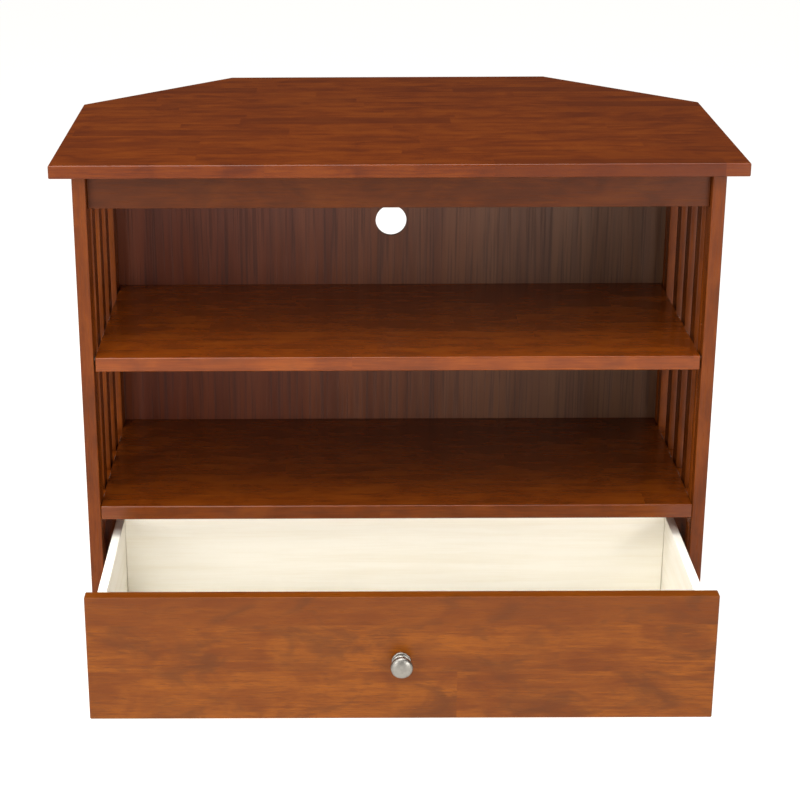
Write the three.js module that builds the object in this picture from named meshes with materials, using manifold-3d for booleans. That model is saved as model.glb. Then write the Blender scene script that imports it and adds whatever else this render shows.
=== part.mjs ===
// Corner media cabinet: a stained-hardwood stand with slatted sides, two open
// compartments, a flat back with a cable hole and one drawer on ball-bearing slides.
// Millimetres. +X is the right-hand side seen from the front, +Y is the back, +Z is up.
// The origin is on the floor, at the centre of the footprint with the drawer as drawn.
import * as THREE from 'three';
import { mergeVertices } from 'three/addons/utils/BufferGeometryUtils.js';
import Module from 'manifold-3d';

const wasm = await Module();
wasm.setup();

// ---------------------------------------------------------------- driving dimensions
// Fits
const glueLine = 0.2;            // gap that stands for a glued or seated face
const pinFit = 0.3;              // all round a pin, a screw shank or a ball

// Overall
const height = 762;              // floor to the top surface
const glideHeight = 4;           // nylon glide under each leg

// Top
const topWidth = 914;            // widest, along the front edge
const topSideDepth = 400;        // front edge to where the corner is cut off
const topCornerCut = 210;        // both legs of the 45 degree rear corners
const topThickness = 18;

// Carcass, measured from the front edge of the top
const frontSetback = 8;          // the legs stand this far behind the top's front edge
const carcassWidth = 856;        // over the side frames
const carcassDepth = 347;        // leg front to the back panel
const backThickness = 6;
const backBottom = 22;           // floor to the lower edge of the back panel

// Side frames
const stileThickness = 18;
const stileWidth = 38;
const slatThickness = 12;
const slatWidth = 30;
const slatCount = 3;
const sideTopRailHeight = 46;
const lowerPanelBottom = 22;     // floor to the solid board beside the drawer
const lowerPanelOverlap = 9;     // its top edge stops this far below the lower shelf's face

// Rails
const railThickness = 18;
const apronHeight = 45;
const apronSetback = 14;         // behind the leg fronts
const toeRailHeight = 48;
const toeRailBottom = 22;

// Shelves: heights are from the floor to the face that carries things
const shelfThickness = 20;
const upperShelfHeight = 496;
const lowerShelfHeight = 279;
const upperShelfEndGap = 2;      // loose shelf, each end
const pinDiameter = 5.4;
const pinInStile = 10;
const pinInShelf = 8;
const pinRise = 12;              // shelf underside to the pin's centre
const pinPitch = 47;             // spare holes above and below

// Cable hole
const cableHoleDiameter = 46;
const cableHoleHeight = 594.5;   // floor to its centre

// Drawer
const drawerFrontHeight = 175;
const drawerFrontThickness = 18;
const drawerSideGap = 3;         // front to each leg
const drawerTopGap = 7;          // front to the lower shelf
const drawerOpen = 236;          // pulled out as it stands here
const boxWall = 12;
const boxBackThickness = 14;
const boxHeight = 140;
const boxDepth = 300;
const boxTopDrop = 21;           // box edge below the top of the front
const boxBottomThickness = 5;
const bottomGrooveDepth = 6;
const bottomGrooveRise = 10;     // box's lower edge to the groove

// Knob and its screw
const knobDiameter = 29;
const knobProjection = 26;
const knobBaseDiameter = 25;
const knobNeckDiameter = 15;
const knobHeight = 84;           // above the lower edge of the drawer front
const screwDiameter = 4;
const screwIntoKnob = 12;
const screwHeadDiameter = 8;
const screwHeadHeight = 2.8;

// Ball-bearing slides, three members, side mounted
const slideLength = 300;
const slideSpace = 12.7;         // between the box and the side frame
const slideHeight = 45;
const slideSteel = 1.2;
const slideCentre = 150;         // floor to its centre line
const slideSetback = 1;          // behind the back of the drawer front
const ballDiameter = 3.5;
const ballPitch = 15;
const ballsPerRow = 8;
const cageSteel = 0.5;

// Steel angles that hold the top
const angleLeg = 25;
const angleWidth = 20;
const angleSteel = 2;
const angleHole = 4.5;
const anglesPerSide = 2;

// ---------------------------------------------------------------- derived places
const topUnderside = height - topThickness;
const topDepth = topSideDepth + topCornerCut;
const frameOuter = carcassWidth / 2;
const frameInner = frameOuter - stileThickness;
const legFront = frontSetback;
const backFace = frontSetback + carcassDepth;
const rearStileFront = backFace - stileWidth;
const frontStileBack = legFront + stileWidth;
const lowerPanelTop = lowerShelfHeight - lowerPanelOverlap;
const frameTop = topUnderside - glueLine;
const drawerFrontTop = lowerShelfHeight - shelfThickness - drawerTopGap;
const drawerFrontBottom = drawerFrontTop - drawerFrontHeight;
const boxTop = drawerFrontTop - boxTopDrop;
const boxBottom = boxTop - boxHeight;
const boxOuter = frameInner - slideSpace;
const boxInner = boxOuter - boxWall;
const boxFront = legFront + drawerFrontThickness + glueLine;
const boxBack = boxFront + boxDepth;
const knobCentre = drawerFrontBottom + knobHeight;
const pinHeight = upperShelfHeight - shelfThickness + pinRise;
const pinHoleDiameter = pinDiameter + 2 * pinFit;
const frontPinY = legFront + stileWidth / 2;
const rearPinY = backFace - stileWidth / 2;
const slideFront = boxFront + slideSetback;
const knobFoot = legFront - glueLine;
const foremost = knobFoot - knobProjection - drawerOpen;
const originY = (foremost + topDepth) / 2;

// ---------------------------------------------------------------- materials
const finish = (color, roughness, metalness = 0) =>
  new THREE.MeshStandardMaterial({ color, roughness, metalness });
const stainedWood = finish(0x8a3f16, 0.35);
const stainedSlat = finish(0x6b2c10, 0.4);
const veneeredBack = finish(0x55230f, 0.55);
const drawerBoard = finish(0xf3ecd8, 0.5);
const zincSteel = finish(0xb4b7ba, 0.35, 1);
const cageStrip = finish(0x8d8f90, 0.45, 1);
const satinNickel = finish(0xbdb9b1, 0.3, 1);
const nylon = finish(0x2b2724, 0.6);

// ---------------------------------------------------------------- solids
// A closed three.js geometry as a solid that can be cut and joined.
function toSolid(geometry) {
  const bare = geometry.clone();
  bare.deleteAttribute('normal');
  bare.deleteAttribute('uv');
  const merged = mergeVertices(bare, 1e-5);
  const mesh = new wasm.Mesh({
    numProp: 3,
    vertProperties: new Float32Array(merged.attributes.position.array),
    triVerts: new Uint32Array(merged.index.array),
  });
  return new wasm.Manifold(mesh);
}

function toGeometry(solid) {
  const mesh = solid.getMesh();
  const geometry = new THREE.BufferGeometry();
  geometry.setAttribute('position', new THREE.BufferAttribute(mesh.vertProperties, 3));
  geometry.setIndex(new THREE.BufferAttribute(mesh.triVerts, 1));
  geometry.computeVertexNormals();
  return geometry;
}

function cut(geometry, ...tools) {
  return toGeometry(tools.reduce((body, tool) => body.subtract(toSolid(tool)), toSolid(geometry)));
}

function join(geometry, ...others) {
  return toGeometry(others.reduce((body, other) => body.add(toSolid(other)), toSolid(geometry)));
}

// A block between two values on each axis, in either order.
function block([x0, x1], [y0, y1], [z0, z1]) {
  const geometry = new THREE.BoxGeometry(Math.abs(x1 - x0), Math.abs(y1 - y0), Math.abs(z1 - z0));
  return geometry.translate((x0 + x1) / 2, (y0 + y1) / 2, (z0 + z1) / 2);
}

// A round bar along an axis, centred on a point.
function bar(axis, diameter, length, centre, sides = 16) {
  const geometry = new THREE.CylinderGeometry(diameter / 2, diameter / 2, length, sides);
  if (axis === 'x') geometry.rotateZ(Math.PI / 2);
  if (axis === 'z') geometry.rotateX(Math.PI / 2);
  return geometry.translate(...centre);
}

// A section drawn in X and Z, run along Y from one value to another.
function runAlongY(points, y0, y1) {
  const shape = new THREE.Shape(points.map(([x, z]) => new THREE.Vector2(x, z)));
  const geometry = new THREE.ExtrudeGeometry(shape, { depth: y1 - y0, bevelEnabled: false });
  return geometry.rotateX(Math.PI / 2).translate(0, y1, 0);
}

// A profile of [radius, height] turned about Y, rising towards -Y.
function turned(profile, sides) {
  const points = profile.map(([r, h]) => new THREE.Vector2(r, h));
  return new THREE.LatheGeometry(points, sides).rotateX(Math.PI);
}

const cabinet = new THREE.Group();
cabinet.name = 'corner_media_cabinet';
cabinet.position.y = -originY;

function add(group, name, geometry, material) {
  const mesh = new THREE.Mesh(geometry, material);
  mesh.name = name;
  group.add(mesh);
  return mesh;
}

// ---------------------------------------------------------------- top
function topPanel() {
  const half = topWidth / 2;
  const back = half - topCornerCut;
  const outline = [[-half, 0], [half, 0], [half, topSideDepth], [back, topDepth],
    [-back, topDepth], [-half, topSideDepth]];
  const shape = new THREE.Shape(outline.map(([x, y]) => new THREE.Vector2(x, y)));
  const geometry = new THREE.ExtrudeGeometry(shape, { depth: topThickness, bevelEnabled: false });
  return geometry.translate(0, 0, topUnderside);
}

add(cabinet, 'top_panel', topPanel(), stainedWood);

// ---------------------------------------------------------------- side frames
function stile(sign, y0, y1, pinY) {
  const wood = block([sign * frameInner, sign * frameOuter], [y0, y1], [glideHeight + glueLine, frameTop]);
  const depth = pinInStile + pinFit;
  const holes = [-pinPitch, 0, pinPitch].map((dz) =>
    bar('x', pinHoleDiameter, 2 * depth, [sign * frameInner, pinY, pinHeight + dz]));
  return cut(wood, ...holes);
}

function sideFrame(side, sign) {
  const y0 = frontStileBack + glueLine;
  const y1 = rearStileFront - glueLine;
  const thickness = [sign * frameInner, sign * frameOuter];
  const topRailBottom = topUnderside - sideTopRailHeight;
  add(cabinet, `${side}_front_stile`, stile(sign, legFront, frontStileBack, frontPinY), stainedWood);
  add(cabinet, `${side}_rear_stile`, stile(sign, rearStileFront, backFace, rearPinY), stainedWood);
  add(cabinet, `${side}_top_rail`, block(thickness, [y0, y1], [topRailBottom, frameTop]), stainedWood);
  add(cabinet, `${side}_lower_panel`, block(thickness, [y0, y1], [lowerPanelBottom, lowerPanelTop]),
    stainedWood);

  const recess = (stileThickness - slatThickness) / 2;
  const slatX = [sign * (frameInner + recess), sign * (frameOuter - recess)];
  const slatZ = [lowerPanelTop + glueLine, topRailBottom - glueLine];
  const space = (rearStileFront - frontStileBack - slatCount * slatWidth) / (slatCount + 1);
  for (let i = 0; i < slatCount; i += 1) {
    const start = frontStileBack + space + i * (space + slatWidth);
    add(cabinet, `${side}_slat_${i + 1}`, block(slatX, [start, start + slatWidth], slatZ), stainedSlat);
  }
}

// ---------------------------------------------------------------- nylon glides
function glide(x, y) {
  const radius = stileThickness / 2 - 1;
  const rim = radius - 1.2;
  const profile = [[0, 0], [rim, 0], [radius, 1.2], [radius, glideHeight], [0, glideHeight]];
  const points = profile.map(([r, h]) => new THREE.Vector2(r, h));
  return new THREE.LatheGeometry(points, 24).rotateX(Math.PI / 2).translate(x, y, 0);
}

// ---------------------------------------------------------------- steel angles under the top
function steelAngle(sign, y) {
  const face = frameInner - glueLine;
  const under = topUnderside - glueLine;
  const section = [[face, under], [face, under - angleLeg], [face - angleSteel, under - angleLeg],
    [face - angleSteel, under - angleSteel], [face - angleLeg, under - angleSteel],
    [face - angleLeg, under]];
  const plate = runAlongY(section.map(([x, z]) => [sign * x, z]), y - angleWidth / 2, y + angleWidth / 2);
  const reach = 0.6 * angleLeg;
  const through = 4 * angleSteel;
  return cut(plate,
    bar('x', angleHole, through, [sign * face, y, under - reach]),
    bar('z', angleHole, through, [sign * (face - reach), y, under]));
}

const sides = [['left', -1], ['right', 1]];
for (const [side, sign] of sides) {
  sideFrame(side, sign);
  const legX = sign * (frameOuter - stileThickness / 2);
  add(cabinet, `${side}_front_glide`, glide(legX, frontPinY), nylon);
  add(cabinet, `${side}_rear_glide`, glide(legX, rearPinY), nylon);
  const run = rearStileFront - frontStileBack;
  for (let i = 0; i < anglesPerSide; i += 1) {
    const y = frontStileBack + run * (i + 0.5) / anglesPerSide;
    add(cabinet, `${side}_top_angle_${i + 1}`, steelAngle(sign, y), zincSteel);
  }
}

// ---------------------------------------------------------------- rails and back
const betweenFrames = [-frameInner + glueLine, frameInner - glueLine];
const frontRailY = [legFront + apronSetback, legFront + apronSetback + railThickness];
const rearRailY = [backFace - railThickness, backFace - glueLine];
const upperRailZ = [topUnderside - apronHeight, frameTop];
const lowerRailZ = [toeRailBottom, toeRailBottom + toeRailHeight];
add(cabinet, 'front_apron', block(betweenFrames, frontRailY, upperRailZ), stainedWood);
add(cabinet, 'front_toe_rail', block(betweenFrames, frontRailY, lowerRailZ), stainedWood);
add(cabinet, 'rear_top_rail', block(betweenFrames, rearRailY, upperRailZ), stainedWood);
add(cabinet, 'rear_bottom_rail', block(betweenFrames, rearRailY, lowerRailZ), stainedWood);

function backPanel() {
  const half = frameOuter;
  const shape = new THREE.Shape([
    new THREE.Vector2(-half, backBottom), new THREE.Vector2(half, backBottom),
    new THREE.Vector2(half, frameTop), new THREE.Vector2(-half, frameTop)]);
  const hole = new THREE.Path();
  hole.absarc(0, cableHoleHeight, cableHoleDiameter / 2, 0, 2 * Math.PI, true);
  shape.holes.push(hole);
  const geometry = new THREE.ExtrudeGeometry(shape,
    { depth: backThickness, bevelEnabled: false, curveSegments: 48 });
  return geometry.rotateX(Math.PI / 2).translate(0, backFace + glueLine + backThickness, 0);
}

add(cabinet, 'back_panel', backPanel(), veneeredBack);

// ---------------------------------------------------------------- shelves and their pins
const shelfY = [legFront, backFace - glueLine];

function upperShelf() {
  const end = frameInner - upperShelfEndGap;
  const underside = upperShelfHeight - shelfThickness;
  const wood = block([-end, end], shelfY, [underside, upperShelfHeight]);
  const notchWidth = pinDiameter + 2 * pinFit;
  const notchTop = pinHeight + pinDiameter / 2 + pinFit;
  const notches = [];
  for (const sign of [-1, 1]) {
    for (const y of [frontPinY, rearPinY]) {
      notches.push(block([sign * (frameInner - pinInShelf - pinFit), sign * (frameInner + 1)],
        [y - notchWidth / 2, y + notchWidth / 2], [underside - 1, notchTop]));
    }
  }
  return cut(wood, ...notches);
}

add(cabinet, 'upper_shelf', upperShelf(), stainedWood);
add(cabinet, 'lower_shelf',
  block(betweenFrames, shelfY, [lowerShelfHeight - shelfThickness, lowerShelfHeight]), stainedWood);

for (const [side, sign] of sides) {
  for (const [place, y] of [['front', frontPinY], ['rear', rearPinY]]) {
    const centre = [sign * (frameInner + (pinInStile - pinInShelf) / 2), y, pinHeight];
    add(cabinet, `shelf_pin_${side}_${place}`,
      bar('x', pinDiameter, pinInStile + pinInShelf, centre), zincSteel);
  }
}

// ---------------------------------------------------------------- drawer, drawn closed then pulled out
const drawer = new THREE.Group();
drawer.position.y = -drawerOpen;
cabinet.add(drawer);

const knobHole = screwDiameter + 2 * pinFit;
const boxZ = [boxBottom, boxTop];
const grooveZ = [boxBottom + bottomGrooveRise,
  boxBottom + bottomGrooveRise + boxBottomThickness + 2 * pinFit];
const boxFrontInner = boxFront + boxWall;
const boxBackInner = boxBack - boxBackThickness;

function drawerFront() {
  const half = frameInner - drawerSideGap;
  const board = block([-half, half], [legFront, legFront + drawerFrontThickness],
    [drawerFrontBottom, drawerFrontTop]);
  return cut(board, bar('y', knobHole, 3 * drawerFrontThickness, [0, legFront, knobCentre]));
}

function boxEnd(y0, y1, inner, drilled) {
  const half = boxInner - glueLine;
  const towards = Math.sign(inner - (y0 + y1) / 2);
  const groove = block([-boxOuter, boxOuter],
    [inner - towards * bottomGrooveDepth, inner + towards], grooveZ);
  const board = block([-half, half], [y0, y1], boxZ);
  if (!drilled) return cut(board, groove);
  return cut(board, groove, bar('y', knobHole, 3 * boxWall, [0, y0, knobCentre]));
}

function boxSide(sign) {
  const board = block([sign * boxInner, sign * boxOuter], [boxFront, boxBack], boxZ);
  const groove = block([sign * (boxInner - 1), sign * (boxInner + bottomGrooveDepth)],
    [boxFrontInner - bottomGrooveDepth, boxBackInner + bottomGrooveDepth], grooveZ);
  return cut(board, groove);
}

function boxBottomPanel() {
  const reach = bottomGrooveDepth - pinFit;
  const low = grooveZ[0] + pinFit;
  return block([-boxInner - reach, boxInner + reach],
    [boxFrontInner - reach, boxBackInner + reach], [low, low + boxBottomThickness]);
}

add(drawer, 'drawer_front', drawerFront(), stainedWood);
add(drawer, 'drawer_box_front', boxEnd(boxFront, boxFrontInner, boxFrontInner, true), drawerBoard);
add(drawer, 'drawer_box_back', boxEnd(boxBackInner, boxBack, boxBackInner, false), drawerBoard);
add(drawer, 'drawer_box_left_side', boxSide(-1), drawerBoard);
add(drawer, 'drawer_box_right_side', boxSide(1), drawerBoard);
add(drawer, 'drawer_bottom', boxBottomPanel(), drawerBoard);

// Mushroom knob: broad foot, neck, then a domed head; the screw's hole opens at the foot.
function knob() {
  const hole = knobHole / 2;
  const depth = screwIntoKnob + pinFit;
  const foot = knobBaseDiameter / 2;
  const neck = knobNeckDiameter / 2;
  const rim = knobDiameter / 2;
  const neckTop = knobProjection * 0.5;
  const rimHeight = knobProjection * 0.78;
  const curve = new THREE.CubicBezierCurve(
    new THREE.Vector2(rim, rimHeight), new THREE.Vector2(rim, knobProjection * 0.9),
    new THREE.Vector2(rim * 0.6, knobProjection), new THREE.Vector2(0, knobProjection));
  const flare = new THREE.QuadraticBezierCurve(
    new THREE.Vector2(neck, neckTop), new THREE.Vector2(rim * 0.95, neckTop),
    new THREE.Vector2(rim, rimHeight));
  const profile = [[0, depth], [hole, depth], [hole, 0], [foot, 0], [foot, 2.5], [neck, 5]];
  for (const p of flare.getPoints(6)) profile.push([p.x, p.y]);
  for (const p of curve.getPoints(10).slice(1)) profile.push([p.x, p.y]);
  return turned(profile, 28).translate(0, knobFoot, knobCentre);
}

// Pan-head machine screw from inside the box, through both boards into the knob.
function knobScrew() {
  const seat = boxFrontInner + glueLine;
  const tip = legFront - screwIntoKnob;
  const shank = screwDiameter / 2;
  const head = screwHeadDiameter / 2;
  const profile = [[0, -screwHeadHeight], [head * 0.6, -screwHeadHeight], [head, -screwHeadHeight * 0.4],
    [head, 0], [shank, 0], [shank, seat - tip], [0, seat - tip]];
  return turned(profile, 20).translate(0, seat, knobCentre);
}

add(drawer, 'drawer_knob', knob(), satinNickel);
add(drawer, 'knob_screw', knobScrew(), zincSteel);

// ---------------------------------------------------------------- ball-bearing slides
// Each member is a channel. `web` and `lip` are distances from the side frame towards the
// drawer, `half` is half the channel's height and the flanges run from web to lip.
function channel(sign, web, lip, half, steel, y0, y1) {
  const back = web + Math.sign(lip - web) * steel;
  const x = (d) => sign * (frameInner - d);
  const points = [[x(web), slideCentre - half], [x(lip), slideCentre - half],
    [x(lip), slideCentre - half + steel], [x(back), slideCentre - half + steel],
    [x(back), slideCentre + half - steel], [x(lip), slideCentre + half - steel],
    [x(lip), slideCentre + half], [x(web), slideCentre + half]];
  return runAlongY(points, y0, y1);
}

// A retainer strip carrying one row of balls above and one below.
function ballCage(sign, web, lip, ballX, half, middleY) {
  const length = ballPitch * ballsPerRow;
  const strip = channel(sign, web, lip, half + cageSteel / 2, cageSteel,
    middleY - length / 2, middleY + length / 2);
  const balls = [];
  for (const z of [slideCentre - half, slideCentre + half]) {
    for (let i = 0; i < ballsPerRow; i += 1) {
      const y = middleY + (i - (ballsPerRow - 1) / 2) * ballPitch;
      const ball = new THREE.SphereGeometry(ballDiameter / 2, 8, 4);
      balls.push(ball.translate(sign * (frameInner - ballX), y, z));
    }
  }
  return join(strip, ...balls);
}

const outerHalf = slideHeight / 2;
const raceGap = ballDiameter + 2 * pinFit;
const middleHalf = outerHalf - slideSteel - raceGap;
const innerHalf = middleHalf - slideSteel - raceGap;
const fixedWeb = glueLine;
const outerCageWeb = fixedWeb + slideSteel + pinFit;
const middleWeb = outerCageWeb + cageSteel + pinFit;
const innerCageWeb = middleWeb + slideSteel + pinFit;
const innerLip = innerCageWeb + cageSteel + pinFit;
const innerWeb = slideSpace - glueLine;
const fixedLip = 0.76 * slideSpace;
const middleLip = innerWeb - slideSteel - pinFit;
const slideMiddle = slideFront + slideLength / 2;

function slide(side, sign) {
  const y0 = slideFront;
  const y1 = slideFront + slideLength;
  add(cabinet, `${side}_slide_fixed_member`,
    channel(sign, fixedWeb, fixedLip, outerHalf, slideSteel, y0, y1), zincSteel);
  const middle = add(cabinet, `${side}_slide_middle_member`,
    channel(sign, middleWeb, middleLip, middleHalf, slideSteel, y0, y1), zincSteel);
  middle.position.y = -drawerOpen / 2;
  add(drawer, `${side}_slide_drawer_member`,
    channel(sign, innerWeb, innerLip, innerHalf, slideSteel, y0, y1), zincSteel);

  const ballX = (fixedLip + middleWeb) / 2;
  const innerBallX = (middleLip + innerLip) / 2;
  const outerCage = ballCage(sign, outerCageWeb, fixedLip - pinFit, ballX,
    outerHalf - slideSteel - raceGap / 2, slideMiddle);
  const innerCage = ballCage(sign, innerCageWeb, middleLip - pinFit, innerBallX,
    middleHalf - slideSteel - raceGap / 2, slideMiddle);
  add(cabinet, `${side}_slide_outer_cage`, outerCage, cageStrip).position.y = -drawerOpen / 4;
  add(cabinet, `${side}_slide_inner_cage`, innerCage, cageStrip).position.y = -drawerOpen * 0.75;
}

for (const [side, sign] of sides) slide(side, sign);

export default cabinet;
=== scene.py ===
# %% [markdown]
# # A corner media cabinet in stained hardwood
#
# The cabinet stands on four legs that are the stiles of two slatted side frames. Rails, a veneered back and
# two shelves tie the frames together, a top with cut corners covers them, and a drawer runs on ball-bearing
# slides under the lower shelf. The sizes come from the engineering model, which is loaded first and stays
# fixed. This script gives each board its eased edges, its own run of grain and its finish.

# %% Load the engineering model
import math
import random

import bmesh
import bpy
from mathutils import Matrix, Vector


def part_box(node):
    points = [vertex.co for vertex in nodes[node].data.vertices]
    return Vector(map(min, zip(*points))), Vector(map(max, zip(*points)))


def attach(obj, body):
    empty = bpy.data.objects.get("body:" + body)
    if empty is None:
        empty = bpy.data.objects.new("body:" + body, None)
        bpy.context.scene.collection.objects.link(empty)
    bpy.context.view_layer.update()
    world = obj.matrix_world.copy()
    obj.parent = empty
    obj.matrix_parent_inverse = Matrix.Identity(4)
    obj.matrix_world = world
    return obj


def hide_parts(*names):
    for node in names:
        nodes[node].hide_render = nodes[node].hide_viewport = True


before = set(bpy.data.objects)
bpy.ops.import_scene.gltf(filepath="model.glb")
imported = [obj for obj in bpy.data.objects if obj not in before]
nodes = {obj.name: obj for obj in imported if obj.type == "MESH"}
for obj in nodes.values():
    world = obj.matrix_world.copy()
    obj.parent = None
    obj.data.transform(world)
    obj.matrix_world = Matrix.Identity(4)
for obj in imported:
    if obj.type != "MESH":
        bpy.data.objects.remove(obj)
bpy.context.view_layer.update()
MM = 0.001

# %% [markdown]
# ## Camera
#
# A long lens, a step back and a little above the top, is how furniture is usually shown: the top and the
# open drawer can both be looked into, and the upright lines stay nearly parallel. A small shift frames the
# cabinet without turning the camera.

# %% Camera
lens = bpy.data.cameras.new("long_lens")
lens.lens = 89.0
lens.sensor_width = 36.0
lens.shift_x = 0.0875
lens.shift_y = 0.0188
lens.clip_end = 100.0
camera = bpy.data.objects.new("camera", lens)
camera.location = (-0.083, -2.696, 1.348)
camera.rotation_euler = [math.radians(angle) for angle in (69.69, 0.25, 0.10)]
bpy.context.scene.collection.objects.link(camera)
bpy.context.scene.camera = camera
print("camera", tuple(round(v, 3) for v in camera.location), "lens", lens.lens)

# %% [markdown]
# ## Small tools
#
# Three helpers are used all the way through: one turns a paint-chart hex colour into the linear values
# that a shader works with, one adds a node with its settings and its links, and one hands a finished piece
# to the body that it moves with.


# %% Colour, node and hand-over helpers
def linear(hex_colour):
    """An sRGB hex colour as linear red, green, blue and an alpha of 1."""
    channels = [int(hex_colour[i:i + 2], 16) / 255 for i in (1, 3, 5)]
    return [c / 12.92 if c <= 0.04045 else ((c + 0.055) / 1.055) ** 2.4 for c in channels] + [1.0]


def add(tree, kind, inputs=(), **settings):
    """Add one node. inputs maps a socket's name or number to a value or to another node's output."""
    node = tree.nodes.new(kind)
    for name, value in settings.items():
        setattr(node, name, value)
    for key, value in dict(inputs).items():
        if isinstance(value, bpy.types.NodeSocket):
            tree.links.new(value, node.inputs[key])
        else:
            node.inputs[key].default_value = value
    return node


def hand_over(piece, body, slot, *stands_for):
    """The piece moves with a body and stands for engineering nodes. slot is not used."""
    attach(piece, body)
    if stands_for:
        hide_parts(*stands_for)
    return piece


# %% [markdown]
# ## Figure of the wood
#
# The boards are glued up from narrow staves, and each stave is finger-jointed from short blocks, so the
# figure is cut into long rectangles that differ a little in tone. Every board carries a *grain* attribute:
# its own coordinates in metres, turned so that X runs along the fibres, with an offset of its own. One
# solid pattern can then serve every board, whichever way it runs, and end grain comes out by itself,
# because the pattern fills the wood and is not wrapped round it.


# %% The stave and block that a point lies in
MOST_SLIP = 7.0  # blocks that one stave's joints may lie behind its neighbour's
FURTHEST = 9.0  # metres along the pattern from which a block may be cut


def block_of(tree, grain, stave, block):
    """A point's coordinates inside its own finger-jointed block, and that block's random value."""
    parts = add(tree, "ShaderNodeSeparateXYZ", {0: grain})
    stave_no = add(tree, "ShaderNodeMath", {0: parts.outputs[1], 1: stave}, operation="DIVIDE")
    stave_no = add(tree, "ShaderNodeMath", {0: stave_no.outputs[0]}, operation="FLOOR")
    slip = add(tree, "ShaderNodeTexWhiteNoise", {"W": stave_no.outputs[0]}, noise_dimensions="1D")
    along = add(tree, "ShaderNodeMath", {0: parts.outputs[0], 1: block}, operation="DIVIDE")
    along = add(tree, "ShaderNodeMath",
                {0: slip.outputs["Value"], 1: MOST_SLIP, 2: along.outputs[0]}, operation="MULTIPLY_ADD")
    block_no = add(tree, "ShaderNodeMath", {0: along.outputs[0]}, operation="FLOOR")
    cell = add(tree, "ShaderNodeCombineXYZ", {0: block_no.outputs[0], 1: stave_no.outputs[0]})
    chance = add(tree, "ShaderNodeTexWhiteNoise", {0: cell.outputs[0]}, noise_dimensions="3D")
    jump = add(tree, "ShaderNodeVectorMath", {0: chance.outputs["Color"], 3: FURTHEST},
               operation="SCALE")
    inside = add(tree, "ShaderNodeVectorMath", {0: grain, 1: jump.outputs[0]}, operation="ADD")
    return inside.outputs[0], chance.outputs["Value"]


def stretched_noise(tree, place, per_metre, detail=3.0, roughness=0.55, distortion=0.0):
    """Noise whose cells are stretched: per_metre counts them along, across and through the board."""
    scaled = add(tree, "ShaderNodeVectorMath", {0: place, 1: per_metre}, operation="MULTIPLY")
    noise = add(tree, "ShaderNodeTexNoise", {
        "Vector": scaled.outputs[0], "Scale": 1.0, "Detail": detail, "Roughness": roughness,
        "Distortion": distortion})
    return noise.outputs["Fac"]


def spread(tree, value, low, high, to_low=0.0, to_high=1.0):
    """The value with low..high drawn out smoothly to to_low..to_high."""
    node = add(tree, "ShaderNodeMapRange", {
        "Value": value, "From Min": low, "From Max": high, "To Min": to_low, "To Max": to_high},
        interpolation_type="SMOOTHSTEP")
    return node.outputs[0]


def blend_colour(tree, factor, first, second, mode="MIX"):
    """The first colour with the second laid over it by a factor."""
    node = add(tree, "ShaderNodeMix", {0: factor, 6: first, 7: second}, data_type="RGBA",
               blend_type=mode)
    return node.outputs[2]


# %% [markdown]
# ## Stained and lacquered hardwood
#
# The maker's wood is a pale, even plantation hardwood, wiped with a red-brown stain and sprayed with satin
# lacquer. Stain sinks in unevenly, so the eye sees five things: fine darker fibres, broad soft streaks,
# smoky patches where the grain turns in, short pores that hold more stain, and here and there a whole block
# that came out darker. The lacquer film is a dielectric, so colour lies under a clear reflection that is
# slightly soft. The noise scales are counts in a metre along, across and through the board, so a fibre is
# about 2 mm wide, drawn several times too wide, because a true one would not show across a room.


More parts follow.
